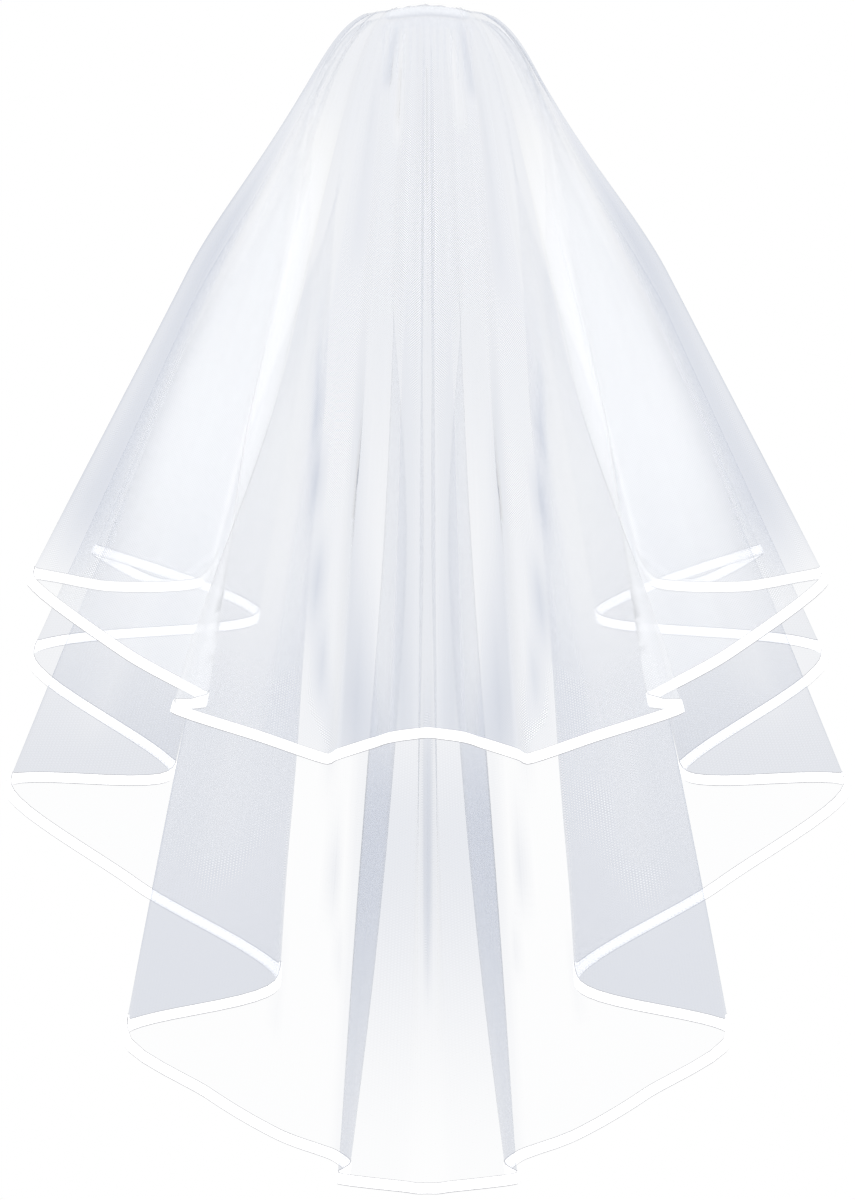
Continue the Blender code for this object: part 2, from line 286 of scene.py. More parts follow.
def smoothPoint(before, a, b, after, share):
    square, cube = share * share, share**3
    return 0.5 * (
        2 * a
        + (b - before) * share
        + (2 * before - 5 * a + 4 * b - after) * square
        + (3 * a - before - 3 * b + after) * cube
    )


def halfLines(turns, looks):
    # hem points of the left half close together, with the seat of each on the comb as a share
    spots = [np.array((-t[0], t[1], -t[2])) * mm for t in turns]
    spots = [spots[1] * (-1, 1, 1), *spots, spots[-1] * 2 - spots[-2]]
    hem, facts, seats = [], [], []
    seat = 0
    for index, (turn, following) in enumerate(zip(turns, turns[1:])):
        before, a, b, after = spots[index : index + 4]
        length = np.linalg.norm(b - a)
        reach = drape["neighbourReach"] * length
        gap = np.linalg.norm(before - a)
        before = a + (before - a) / gap * min(reach, gap)
        gap = np.linalg.norm(after - b)
        after = b + (after - b) / gap * min(reach, gap)
        cuts = drape["longCuts"] if length > drape["longStretch"] else drape["shortCuts"]
        count = max(4, round(length / drape["lineStep"]))
        for step in range(count):
            share = step / count
            share = share - drape["turnGather"] * math.sin(2 * math.pi * share)
            hem.append(smoothPoint(before, a, b, after, share))
            blend = np.array(turn[3:]) * (1 - share) + np.array(following[3:]) * share
            facts.append(np.concatenate((blend, *looks[index])))
            seats.append(seat + np.interp(share, cuts, range(len(cuts))))
        seat += len(cuts) - 1
    hem.append(spots[-2])
    facts.append(np.concatenate((turns[-1][3:], *looks[-1])))
    seats.append(seat)
    return np.array(hem), np.array(facts), np.array(seats) / seat


def tierSheet(turns, looks, shares, gatherHeight, gatherTurn, rows):
    # every line of a tier, from the left front edge round the back to the right one
    hem, facts, seats = halfLines(turns, looks)
    hem = np.concatenate((hem[:0:-1], hem * (-1, 1, 1)))
    facts = np.concatenate((facts[:0:-1], facts))
    seats = np.concatenate((-seats[:0:-1], seats))
    count = len(hem)
    middle = (count - 1) // 2
    flip = np.where(np.arange(count) < middle, -1.0, 1.0)
    steps = np.linalg.norm(np.diff(hem, axis=0), axis=1)
    way = np.concatenate(([0.0], np.cumsum(steps)))
    reachOf = np.gradient(way)

    def evened(values, reach):
        weights = np.exp(-(((way[:, None] - way[None, :]) / reach) ** 2)) * reachOf[None, :]
        weights /= weights.sum(axis=1)[:, None]
        return weights @ values

    calm = evened(hem, drape["calmReach"])
    seats = evened(seats, drape["seatReach"])
    seats /= seats[-1]
    look = evened(facts[:, 4:], drape["lookReach"])
    turn = gatherTurn * seats
    side = drape["gatherHalfLength"] * np.sin(turn)
    height = gatherHeight - drape["crownBend"] * side**2
    gather = np.stack((side, -drape["gatherHalfDepth"] * np.cos(turn), height), axis=1)
    share = np.linspace(0, 1, rows)
    starts, full, tuckSide, tuckDeep = (facts[:, column][:, None] for column in range(4))
    fold = ease(share[None, :], starts, full)[:, :, None]
    goal = calm[:, None, :] * (1 - fold) + hem[:, None, :] * fold
    deep = ease(share, 0, drape["deepFull"])
    goal[:, :, 1] = calm[:, 1][:, None] + (hem[:, 1] - calm[:, 1])[:, None] * deep
    fall = share ** drape["fallPower"]
    crown = (1 - np.exp(-fall / drape["crownRound"])) ** drape["crownPower"]
    out = drape["crownShare"] * crown + (1 - drape["crownShare"]) * fall
    step = goal - gather[:, None, :]
    points = gather[:, None, :] + step * np.stack((out, out, fall), axis=1)[None, :, :]
    halfWay = 4 * share * (1 - share)
    late = ease(share, drape["tuckStart"], drape["tuckFull"])
    points[:, :, 0] += flip[:, None] * tuckSide * mm * (halfWay * late)[None, :]
    points[:, :, 1] += tuckDeep * mm * (halfWay * deep)[None, :]
    return {
        "points": points, "way": way, "share": share, "look": look, "shares": shares, "middle": middle
    }


def outwardOf(points):
    down = np.gradient(points, axis=1)
    across = np.diff(points, axis=0)
    first = np.cross(down[:-1], across)
    second = np.cross(down[1:], across)
    first /= np.linalg.norm(first, axis=2)[:, :, None] + 1e-12
    second /= np.linalg.norm(second, axis=2)[:, :, None] + 1e-12
    total = np.zeros_like(points)
    total[:-1] += first
    total[1:] += second
    return total / (np.linalg.norm(total, axis=2)[:, :, None] + 1e-12)


# Gathers round the crown: soft waves of uneven size that run out down the net
gathers = {
    "upper": {
        "waves": (9, 15, 26), "heights": (1.3, 1.1, 0.6), "phases": (0.4, 1.9, 4.1), "end": 0.55
    },
    "lower": {
        "waves": (11, 19, 31), "heights": (1.3, 1.0, 0.5), "phases": (2.2, 0.7, 3.3), "end": 0.50
    },
    "slope": 0.09,  # most height for each unit of wave length
    "sway": 0.8,
    "swayWaves": 3,
    "unevenEnd": 0.3,
    "fadeFrom": 0.4,
    "rise": 0.03,
}

# Side outline of the crown, where the net is seen edge on: half width and how much thicker it looks
outline = {"half": 1.4 * mm, "reach": 0.34, "fadeFrom": 0.6, "thicker": 0.20}

# How soon a crease comes in and runs out, in shares of its length, and the calm strip at each front
creaseEnds = {"in": 0.4, "out": 0.2, "calmEdge": 25 * mm}

# Creases, each on a line of its own: place along the hem from the middle at its start and
# at its end (left is minus), start and end as shares of the line, depth (minus is a trough), half
# width at its start and its end, all in mm, how much thicker the net looks in it, and how much
# lighter it is painted: painted light on ridges, painted shade where minus, in troughs
upperCreases = (
    (-82, -88, 0.03, 0.20, -1.2, 8, 10, 0.16, -0.06),
    (86, 92, 0.03, 0.22, -1.1, 8, 10, 0.15, -0.06),
    (-58, -52, 0.05, 0.30, 1.3, 6, 8, -0.16, 0.04),
    (55, 60, 0.06, 0.27, 1.2, 6, 8, -0.15, 0.04),
    (-112, -108, 0.10, 0.48, -1.8, 8, 12, 0.08, -0.02),
    (116, 108, 0.11, 0.52, -1.7, 8, 12, 0.08, -0.02),
    (-150, -166, 0.15, 0.80, 3.0, 14, 16, 0.02, 0.02),
    (154, 162, 0.16, 0.84, 2.8, 14, 16, 0.02, 0.02),
    (-90, -64, 0.48, 1.04, -2.4, 5, 12, 0.15, -0.04),
    (90, 64, 0.50, 1.04, -2.2, 5, 12, 0.15, -0.04),
    (-31, -20, 0.42, 1.04, -1.8, 4, 9, 0.09, -0.02),
    (32, 20, 0.44, 1.04, -1.8, 4, 9, 0.09, -0.02),
    (-155, -92, 0.44, 1.00, -1.4, 3, 7, 0.30, -0.10),
    (156, 94, 0.46, 1.00, -1.3, 3, 7, 0.29, -0.10),
    (-64, -46, 0.55, 1.0, 1.6, 6, 6, -0.06, 0.02),
    (62, 46, 0.58, 1.0, 1.5, 6, 6, -0.06, 0.02),
    (-229, -228, 0.22, 1.04, 2.6, 11, 13, 0.34, 0.02),
    (228, 229, 0.24, 1.04, 2.4, 11, 13, 0.33, 0.02),
    (-272, -268, 0.30, 0.92, -3.0, 14, 18, 0.0, 0.0),
    (268, 274, 0.26, 0.88, -2.8, 14, 18, 0.0, 0.0),
    (-318, -322, 0.18, 0.85, 3.4, 14, 16, -0.04, 0.02),
    (322, 320, 0.22, 0.90, 3.2, 14, 16, -0.04, 0.02),
    (-358, -354, 0.14, 1.04, 1.2, 20, 26, -0.08, -0.30),
    (358, 354, 0.14, 1.04, 1.0, 20, 26, -0.08, -0.30),
    (-377, -377, 0.02, 1.02, 0.0, 3, 2.5, 0.14, 0.0),
    (377, 377, 0.02, 1.02, 0.0, 3, 2.5, 0.14, 0.0),
    (-396, -402, 0.14, 1.04, 0.0, 18, 24, 0.28, -0.10),
    (396, 402, 0.14, 1.04, 0.0, 18, 24, 0.28, -0.10),
    (-415, -410, 0.24, 0.86, -2.6, 10, 14, 0.05, 0.0),
    (408, 418, 0.28, 0.90, -2.4, 10, 14, 0.05, 0.0),
    (-452, -458, 0.30, 0.92, 2.0, 9, 12, 0.0, 0.0),
    (460, 452, 0.26, 0.88, 2.0, 9, 12, 0.0, 0.0),
)
lowerCreases = (
    (0, 0, 0.42, 0.885, -1.6, 6, 1.5, 0.10, -0.03),
    (0, 0, 0.62, 0.895, 0.0, 5.0, 1.2, 0.15, -0.03),
    (-118, -91, 0.66, 0.895, -1.6, 6, 2.6, 0.24, -0.04),
    (116, 91, 0.67, 0.890, -1.6, 6, 2.6, 0.24, -0.04),
    (-142, -140, 0.84, 0.94, -1.2, 4, 3.0, 0.10, 0.0),
    (140, 141, 0.85, 0.93, -1.2, 4, 3.0, 0.10, 0.0),
    (-186, -192, 0.30, 0.80, 2.2, 12, 16, 0.0, 0.0),
    (194, 188, 0.32, 0.84, 2.4, 12, 16, 0.0, 0.0),
    (-225, -232, 0.45, 0.97, -2.0, 10, 12, 0.02, 0.0),
    (236, 228, 0.42, 0.95, -2.2, 10, 12, 0.02, 0.0),
    (-254, -254, 0.30, 1.02, 0.0, 3, 2.2, 0.30, 0.0),
    (254, 254, 0.30, 1.02, 0.0, 3, 2.2, 0.30, 0.0),
    (-300, -310, 0.40, 0.95, 2.8, 14, 18, -0.04, 0.0),
    (312, 304, 0.44, 0.97, 2.6, 14, 18, -0.04, 0.0),
    (-338, -366, 0.20, 0.92, -2.4, 8, 6, 0.02, 0.0),
    (338, 366, 0.22, 0.94, -2.4, 8, 6, 0.02, 0.0),
    (-430, -420, 0.36, 0.92, 2.6, 16, 20, 0.0, 0.0),
    (424, 432, 0.34, 0.88, 2.6, 16, 20, 0.0, 0.0),
    (-530, -540, 0.30, 0.94, -3.0, 18, 22, 0.02, 0.0),
    (536, 528, 0.32, 0.90, -3.0, 18, 22, 0.02, 0.0),
    (-601, -601, 0.24, 1.02, 0.0, 3, 2.2, 0.30, 0.0),
    (601, 601, 0.24, 1.02, 0.0, 3, 2.2, 0.30, 0.0),
    (-640, -652, 0.62, 0.98, -2.4, 9, 14, -0.10, 0.0),
    (648, 640, 0.60, 0.96, -2.2, 9, 14, -0.10, 0.0),
    (-690, -684, 0.40, 0.90, 2.4, 12, 14, 0.08, 0.0),
    (686, 692, 0.42, 0.93, 2.4, 12, 14, 0.08, 0.0),
    (-780, -770, 0.34, 0.92, -2.8, 16, 20, 0.03, 0.0),
    (772, 782, 0.36, 0.94, -2.6, 16, 20, 0.03, 0.0),
    (-856, -856, 0.24, 1.02, 0.0, 3, 2.2, 0.30, 0.0),
    (856, 856, 0.24, 1.02, 0.0, 3, 2.2, 0.30, 0.0),
    (-930, -944, 0.32, 0.92, 2.8, 16, 20, 0.0, 0.0),
    (942, 930, 0.30, 0.90, 2.6, 16, 20, 0.0, 0.0),
    (-1080, -1070, 0.34, 0.92, -2.6, 14, 18, 0.0, 0.0),
    (1072, 1084, 0.32, 0.95, -2.4, 14, 18, 0.0, 0.0),
    (-1151, -1151, 0.20, 1.02, 0.0, 3, 2.5, 0.24, 0.0),
    (1151, 1151, 0.20, 1.02, 0.0, 3, 2.5, 0.24, 0.0),
    (-1190, -1196, 0.34, 0.90, 1.8, 10, 12, 0.0, 0.0),
    (1196, 1188, 0.36, 0.92, 1.8, 10, 12, 0.0, 0.0),
)


def addFolds(sheet, waves, creases):
    points, way, share = sheet["points"], sheet["way"], sheet["share"]
    outward = outwardOf(points)
    place = (way - way[sheet["middle"]]) / mm
    across = np.linalg.norm(np.diff(points, axis=0), axis=2).sum(axis=0)
    turn = 2 * math.pi * way / way[-1]
    rise = ease(share, 0, gathers["rise"])
    # the third of these holds painted light on crease ridges and painted shade in their troughs
    lift, more, glowAndPaintedShade = (np.zeros(points.shape[:2]) for _ in range(3))
    for number, height, phase in zip(waves["waves"], waves["heights"], waves["phases"]):
        sway = gathers["sway"] * np.sin(gathers["swayWaves"] * turn + phase)
        wave = np.sin(number * turn + phase + sway)
        end = waves["end"] * (1 + gathers["unevenEnd"] * math.sin(phase))
        high = np.minimum(height * mm, gathers["slope"] * across / number)
        high = high * (1 - ease(share, gathers["fadeFrom"] * end, end)) * rise
        lift += wave[:, None] * high[None, :]
    for first, last, start, end, depth, wide, wideEnd, thicker, paintedLightAndShade in creases:
        run = np.clip((share - start) / (end - start), 0, 1)
        middle = first + (last - first) * run
        width = wide + (wideEnd - wide) * run
        bell = np.exp(-(((place[:, None] - middle[None, :]) / width[None, :]) ** 2))
        length = end - start
        comingIn = ease(share, start, start + creaseEnds["in"] * length)
        runningOut = ease(share, end - creaseEnds["out"] * length, end)
        bell *= (comingIn * (1 - runningOut))[None, :]
        lift += depth * mm * bell
        more += thicker * bell
        # painted shade in the troughs, painted light on the ridges
        glowAndPaintedShade += paintedLightAndShade * bell
    fade = rise * (1 - ease(share, outline["fadeFrom"] * outline["reach"], outline["reach"]))
    for widest in (points[:, :, 0].argmin(axis=0), points[:, :, 0].argmax(axis=0)):
        tips = points[widest, range(len(share)), :2]
        apart = np.linalg.norm(points[:, :, :2] - tips[None], axis=2)
        more += outline["thicker"] * np.exp(-((apart / outline["half"]) ** 2)) * fade[None, :]
    edge = np.minimum(way - way[0], way[-1] - way) / creaseEnds["calmEdge"]
    lift *= np.clip(edge, 0, 1)[:, None]
    sheet["points"] = points + outward * lift[:, :, None]
    sheet["outward"] = outwardOf(sheet["points"])
    sheet["more"] = more
    sheet["glowAndPaintedShade"] = glowAndPaintedShade


def looksOf(sheet):
    # thickness and painted light and shade of every point of a sheet
    rows, shares = sheet["points"].shape[1], sheet["shares"]
    looks = {}
    for first, fact, change in ((0, "thick", "more"), (len(shares), "toneAndPaintedShade", "glowAndPaintedShade")):
        look = np.repeat(sheet["look"][:, first : first + 1], rows, axis=1)
        for spot in range(1, len(shares)):
            part = ease(sheet["share"], shares[spot - 1], shares[spot])[None, :]
            look = look * (1 - part) + sheet["look"][:, first + spot][:, None] * part
        looks[fact] = np.clip(look + sheet[change], *lookLimits)
    return looks


# The net: a fine hexagon mesh of clear thread, thicker to the eye where it folds back
net = {
    "cell": 1.5 * mm,
    # tints and limits of the painted shade and painted light on the net
    "shadeTint": (0.84, 0.92, 1.12),
    "lightTint": (0.975, 0.99, 1.02),
    "shadeBright": 0.42,
    "lightBright": 0.66,
    "roughness": 0.62,
    "sheen": 0.25,
    "sheenRoughness": 0.5,
    "specular": 0.2,
    "contrast": 0.09,
    "bump": 0.05,
    "bumpDepth": 0.1 * mm,
}


def addBump(nodes, links, shader, height, strength, depth):
    bump = addNode(nodes, "ShaderNodeBump")
    bump.inputs["Strength"].default_value = strength
    bump.inputs["Distance"].default_value = depth
    links.new(height, bump.inputs["Height"])
    links.new(bump.outputs[0], shader.inputs["Normal"])


def netMaterial(name):
    mat, nodes, links, shader = newMaterial(name)
    uv = addNode(nodes, "ShaderNodeUVMap", uv_map="cut")
    split = addNode(nodes, "ShaderNodeSeparateXYZ")
    links.new(uv.outputs["UV"], split.inputs[0])
    # three sets of stripes at 120 degrees make the hexagon mesh
    size = 2 * math.pi / net["cell"]
    total = None
    for number in range(3):
        turn = math.radians(120 * number)
        along = mathNode(nodes, links, "MULTIPLY", split.outputs[0], size * math.cos(turn))
        across = mathNode(nodes, links, "MULTIPLY", split.outputs[1], size * math.sin(turn))
        stripe = mathNode(nodes, links, "COSINE", mathNode(nodes, links, "ADD", along, across))
        total = stripe if total is None else mathNode(nodes, links, "ADD", total, stripe)
    hole = mathNode(nodes, links, "MULTIPLY_ADD", total, -net["contrast"] / 3)
    hole.node.inputs[2].default_value = 1.0
    thick = addNode(nodes, "ShaderNodeAttribute", attribute_name="thick")
    alpha = mathNode(nodes, links, "MULTIPLY", hole, thick.outputs["Fac"], clamp=True)
    links.new(alpha, shader.inputs["Alpha"])
    # painted light and shade: this attribute scales the net's colour
    toneAndPaintedShade = addNode(nodes, "ShaderNodeAttribute", attribute_name="toneAndPaintedShade")
    # painted shade: the darker the net is painted, the bluer it is
    light = addNode(nodes, "ShaderNodeMapRange", clamp=True)
    light.inputs["From Min"].default_value = net["shadeBright"]
    light.inputs["From Max"].default_value = net["lightBright"]
    links.new(toneAndPaintedShade.outputs["Fac"], light.inputs["Value"])
    tint = addNode(nodes, "ShaderNodeMix", data_type="VECTOR")
    tint.inputs["A"].default_value = net["shadeTint"]
    tint.inputs["B"].default_value = net["lightTint"]
    links.new(light.outputs["Result"], tint.inputs["Factor"])
    colour = addNode(nodes, "ShaderNodeVectorMath", operation="SCALE")
    links.new(tint.outputs["Result"], colour.inputs[0])
    links.new(toneAndPaintedShade.outputs["Fac"], colour.inputs["Scale"])
    links.new(colour.outputs[0], shader.inputs["Base Color"])
    shader.inputs["Roughness"].default_value = net["roughness"]
    shader.inputs["Sheen Weight"].default_value = net["sheen"]
    shader.inputs["Sheen Roughness"].default_value = net["sheenRoughness"]
    shader.inputs["Specular IOR Level"].default_value = net["specular"]
    addBump(nodes, links, shader, hole, net["bump"], net["bumpDepth"])
    return mat


def gridMesh(columns, rows):
    # a bmesh grid with the cell of every vertex
    bm = bmesh.new()
    bmesh.ops.create_grid(bm, x_segments=columns - 1, y_segments=rows - 1, size=1)
    cells = []
    for vert in bm.verts:
        column = round((vert.co.x + 1) / 2 * (columns - 1))
        row = round((vert.co.y + 1) / 2 * (rows - 1))
        cells.append((column, row))
    return bm, cells


def joinInto(bm, part):
    scratch = bpy.data.meshes.new("scratch")
    part.to_mesh(scratch)
    part.free()
    bm.from_mesh(scratch)
    bpy.data.meshes.remove(scratch)


def unit(vector):
    return vector / (np.linalg.norm(vector) + 1e-12)


def runAlong(points):
    # the way from the first point to each point of a line
    steps = [np.linalg.norm(b - a) for a, b in zip(points, points[1:])]
    return np.concatenate(([0.0], np.cumsum(steps)))


def valueAt(wanted, run, values):
    return np.array([np.interp(wanted, run, values[:, axis]) for axis in range(3)])


def letLightThrough(obj):
    # net this fine dims the lamp too little to throw a shadow
    obj.visible_shadow = False
    obj.visible_diffuse = False


# The gathered edge of the upper net is turned over the band and stands in a low puff on top of it
heading = {
    "rise": 1.2 * mm,
    "turns": (164, 140, 112, 84, 56, 28),  # degrees over the band, from its front to its back
    "narrow": 0.05,
    "waves": 34,
    "waveHeight": 0.35 * mm,
    # place along the comb, height and half width of the puffs and dips on top, in mm
    "bumps": (
        (-23.5, 0.9, 2.6), (-18.5, -0.7, 2.4), (-1.0, 0.9, 1.5), (16.5, -0.6, 2.4), (23.5, 1.0, 2.6)
    ),
    "endPower": 0.3,  # the lower it is, the later the puff sinks towards the ends of the comb
    "shares": (-0.06, -0.01),
    "thicker": 0.14,
    # painted highlight: the heading is painted lighter than the net below it
    "paintedLightAndShade": 0.10,
}


def withHeading(sheet):
    # the same sheet with rows on top that turn over the band
    rim = sheet["points"][:, 0]
    end = np.abs(rim[:, 1]) / drape["gatherHalfDepth"]
    puff = heading["rise"] * np.clip(end, 0, 1) ** heading["endPower"]
    for place, height, half in heading["bumps"]:
        puff = puff + height * mm * np.exp(-(((rim[:, 0] / mm - place) / half) ** 2))
    wave = np.sin(heading["waves"] * math.pi * sheet["way"] / sheet["way"][-1])
    puff = puff + heading["waveHeight"] * wave
    rows = []
    for turn in heading["turns"]:
        over = math.radians(turn)
        row = rim * (1 - heading["narrow"] * math.sin(over), math.cos(over), 1)
        row[:, 2] += puff * math.sin(over)
        rows.append(row)
    count = len(rows)
    points = np.concatenate((np.stack(rows, axis=1), sheet["points"]), axis=1)
    top = np.zeros((len(rim), count))
    return {
        **sheet,
        "points": points,
        "outward": outwardOf(points),
        "share": np.concatenate((np.linspace(*heading["shares"], count), sheet["share"])),
        "more": np.concatenate((top + heading["thicker"], sheet["more"]), axis=1),
        # painted highlight on the heading rows
        "glowAndPaintedShade": np.concatenate((top + heading["paintedLightAndShade"], sheet["glowAndPaintedShade"]), axis=1),
    }


def makeNet(name, sheet, cutWidth, finish):
    points, outward = sheet["points"], sheet["outward"]
    columns, rows = points.shape[:2]
    bm, cells = gridMesh(columns, rows)
    uvLayer = bm.loops.layers.uv.new("cut")
    place = points + outward * drape["sink"]
    for vert, (column, row) in zip(bm.verts, cells):
        vert.co = place[column, row]
    across = sheet["way"] / sheet["way"][-1] * cutWidth
    steps = np.linalg.norm(np.diff(points, axis=1), axis=2)
    length = np.concatenate((np.zeros((columns, 1)), np.cumsum(steps, axis=1)), axis=1)
    bm.verts.index_update()
    for face in bm.faces:
        for loop in face.loops:
            column, row = cells[loop.vert.index]
            loop[uvLayer].uv = (across[column], length[column, row])
    obj = meshObject(name, bm)
    for fact, look in looksOf(sheet).items():
        layer = obj.data.attributes.new(fact, "FLOAT", "POINT")
        layer.data.foreach_set("value", [look[column, row] for column, row in cells])
    obj.data.materials.append(finish)
    obj.data.shade_smooth()
    letLightThrough(obj)
    return obj


# Ribbon: satin, a little crowned, folded over the edge of the net
ribbon = {
    "width": 6.6 * mm,
    "lift": 0.6 * mm,
    "thickness": 1.8 * mm,  # both sides of the net, folded over its edge
    "crown": 0.15 * mm,
    "cellsAcross": 6,
    "hemShare": 0.03,  # end of each line that gives the slant of the hem
    "hemGap": 0.9,  # widths between the end of a front strip and the corner
    "frontStart": 0.22,
    "frontLines": 12,
    "frontMost": 0.9,  # most that it takes of those lines
    # shares of the line where it begins to widen and is full, and its least share of the width
    "frontTaper": (0.62, 0.97, 0.30),
    # the same for how clearly it shows, and then along the hem, in mm from its corner
    "frontFade": (0.60, 1.00, 0.05),
    "cornerFade": {"upper": (12, 72, 0.08), "lower": (20, 84, 0.12)},
    "colour": (0.94, 0.94, 0.945),
    "roughness": 0.34,
    "sheen": 0.2,
    "through": 0.35,  # painted light: an even glow that keeps it white, standing in for light through it from the far side
    "floats": (300, 26),  # satin weave: floats for each metre along it, and across it
    "bump": 0.15,
    "bumpDepth": 0.1 * mm,
}


def satinMaterial():
    mat, nodes, links, shader = newMaterial("satin ribbon")
    uv = addNode(nodes, "ShaderNodeUVMap", uv_map="strip")
    split = addNode(nodes, "ShaderNodeSeparateXYZ")
    links.new(uv.outputs["UV"], split.inputs[0])
    shader.inputs["Base Color"].default_value = (*ribbon["colour"], 1)
    clear = addNode(nodes, "ShaderNodeAttribute", attribute_name="clear")
    links.new(clear.outputs["Fac"], shader.inputs["Alpha"])
    # painted light: a faint glow, though the ribbon is no lamp
    shader.inputs["Emission Color"].default_value = (1, 1, 1, 1)
    shader.inputs["Emission Strength"].default_value = ribbon["through"]
    weave = addNode(nodes, "ShaderNodeTexNoise")
    weave.inputs["Scale"].default_value = 1.0
    weave.inputs["Detail"].default_value = 2.0
    stretch = addNode(nodes, "ShaderNodeCombineXYZ")
    for axis, floats in enumerate(ribbon["floats"]):
        links.new(mathNode(nodes, links, "MULTIPLY", split.outputs[axis], floats), stretch.inputs[axis])
    links.new(stretch.outputs[0], weave.inputs["Vector"])
    addBump(nodes, links, shader, weave.outputs["Fac"], ribbon["bump"], ribbon["bumpDepth"])
    shader.inputs["Roughness"].default_value = ribbon["roughness"]
    shader.inputs["Sheen Weight"].default_value = ribbon["sheen"]
    return mat


def pointAt(sheet, column, share):
    # a point and the way out of the net at any share down a column
    rows = len(sheet["share"]) - 1
    spot = share * rows
    low = min(int(spot), rows - 1)
    part = spot - low
    point = sheet["points"][column, low] * (1 - part) + sheet["points"][column, low + 1] * part
    out = sheet["outward"][column, low] * (1 - part) + sheet["outward"][column, low + 1] * part
    return point, out


def hemStrip(sheet, tier):
    # rails of points across the hem ribbon, from its lower edge up, and how clearly each rail shows
    points, way = sheet["points"], sheet["way"]
    columns = points.shape[0]
    cells = np.linspace(0, 1, ribbon["cellsAcross"] + 1)
    rails = []
    for column in range(columns):
        down = points[column, -1] - pointAt(sheet, column, 1 - ribbon["hemShare"])[0]
        slants = []
        for beside in (max(column - 1, 0), min(column + 1, columns - 1)):
            if beside != column:
                along = points[beside, -1] - points[column, -1]
                slants.append(np.linalg.norm(np.cross(down, along)) / np.linalg.norm(along))
        inner = ribbon["hemShare"] * ribbon["width"] / (sum(slants) / len(slants))
        rails.append([pointAt(sheet, column, 1 - inner * cell) for cell in cells])
    start, full, faint = ribbon["cornerFade"][tier]
    apart = np.minimum(way - way[0], way[-1] - way) / mm
    return rails, way, faint + (1 - faint) * ease(apart, start, full)


def frontStrip(sheet, tier, side):
    # the same up one front edge, side 1 for the left one and -1 for the right one
    lines = ribbon["frontLines"]
    columns = range(lines) if side > 0 else range(-1, -lines - 1, -1)
    share = sheet["share"]
    rails, way, clear = [], [0.0], []
    start, full, narrow = ribbon["frontTaper"]
    fadeStart, fadeFull, faint = ribbon["frontFade"]
    corner = ribbon["cornerFade"][tier][2]
    for row in [r for r, s in enumerate(share) if s >= ribbon["frontStart"]]:
        width = ribbon["width"] * (narrow + (1 - narrow) * float(ease(share[row], start, full)))
        line, outs = sheet["points"][columns, row], sheet["outward"][columns, row]
        run = runAlong(line)
        rail = []
        for cell in np.linspace(0, 1, ribbon["cellsAcross"] + 1):
            wanted = min(cell * width, ribbon["frontMost"] * run[-1])
            rail.append((valueAt(wanted, run, line), valueAt(wanted, run, outs)))
        if rails:
            way.append(way[-1] + np.linalg.norm(rail[0][0] - rails[-1][0][0]))
        rails.append(rail)
        clear.append(faint + (corner - faint) * float(ease(share[row], fadeStart, fadeFull)))
    # it stops where the hem ribbon begins
    tip = sheet["points"][columns[0], -1]
    while np.linalg.norm(rails[-1][0][0] - tip) < ribbon["hemGap"] * ribbon["width"]:
        rails.pop()
        way.pop()
        clear.pop()
    return rails, way, clear


def stripMesh(bm, rails, way, clear, turned=False):
    across = ribbon["cellsAcross"]
    part, cells = gridMesh(len(rails), across + 1)
    uvLayer = part.loops.layers.uv.new("strip")
    clearLayer = part.verts.layers.float.new("clear")
    for vert, (column, row) in zip(part.verts, cells):
        vert[clearLayer] = clear[column]
        point, out = rails[column][row]
        crown = ribbon["crown"] * (1 - (2 * row / across - 1) ** 2)
        vert.co = Vector(point + out * (ribbon["lift"] + crown))
    part.verts.index_update()
    for face in part.faces:
        for loop in face.loops:
            column, row = cells[loop.vert.index]
            loop[uvLayer].uv = (way[column], row / across)
    if turned:
        bmesh.ops.reverse_faces(part, faces=part.faces[:])
    joinInto(bm, part)


def makeRibbon(tier, sheet, finish):
    bm = bmesh.new()
    strips = [hemStrip(sheet, tier), frontStrip(sheet, tier, 1), frontStrip(sheet, tier, -1)]
    for (rails, way, clear), turned in zip(strips, (False, True, False)):
        stripMesh(bm, rails, way, clear, turned)
    obj = meshObject(tier + "_edging", bm)
    obj.data.materials.append(finish)
    obj.data.shade_smooth()
    wall = obj.modifiers.new("Thickness", "SOLIDIFY")
    wall.thickness = ribbon["thickness"]
    wall.offset = -1
    wall.use_even_offset = False
    letLightThrough(obj)
    return obj, strips


def lengthOf(strips):
    return sum(way[-1] - way[0] for _, way, _ in strips)


# Sewing: a thin cord for the selvage along both sides of the ribbon, dark with painted shade, and short
# stitches that hold it on the net
sewing = {
    "edgeHalf": 0.30 * mm,
    "edgeOut": 0.12 * mm,
    "edgeSides": 6,
    # painted shade: the cord is dark to show the shade line along the ribbon's edges
    "edgeShadeColour": (0.40, 0.40, 0.42),
    "pitch": 2.8 * mm,
    "inset": 0.15,  # share of the width of the ribbon
    "stitch": (0.95 * mm, 0.17 * mm, 0.13 * mm),  # half length, half width and half height
    "threadColour": (0.66, 0.66, 0.68),
    "threadRoughness": 0.6,
    "twistScale": 4000,
    "twistBump": 0.2,
    "twistDepth": 0.05 * mm,
    "lookAhead": 0.3 * mm,
    "gatherRow": 2,
    "gatherPitch": 1.9 * mm,
}


def plainMaterial(name, colour, roughness, alpha=1.0):
    mat, nodes, links, shader = newMaterial(name)
    shader.inputs["Base Color"].default_value = (*colour, 1)
    shader.inputs["Roughness"].default_value = roughness
    shader.inputs["Alpha"].default_value = alpha
    return mat


def threadMaterial(name, colour):
    # fine twist along the thread
    mat, nodes, links, shader = newMaterial(name)
    shader.inputs["Base Color"].default_value = (*colour, 1)
    shader.inputs["Roughness"].default_value = sewing["threadRoughness"]
    place = addNode(nodes, "ShaderNodeTexCoord")
    twist = addNode(nodes, "ShaderNodeTexNoise")
    twist.inputs["Scale"].default_value = sewing["twistScale"]
    links.new(place.outputs["Object"], twist.inputs["Vector"])
    addBump(nodes, links, shader, twist.outputs["Fac"], sewing["twistBump"], sewing["twistDepth"])
    return mat


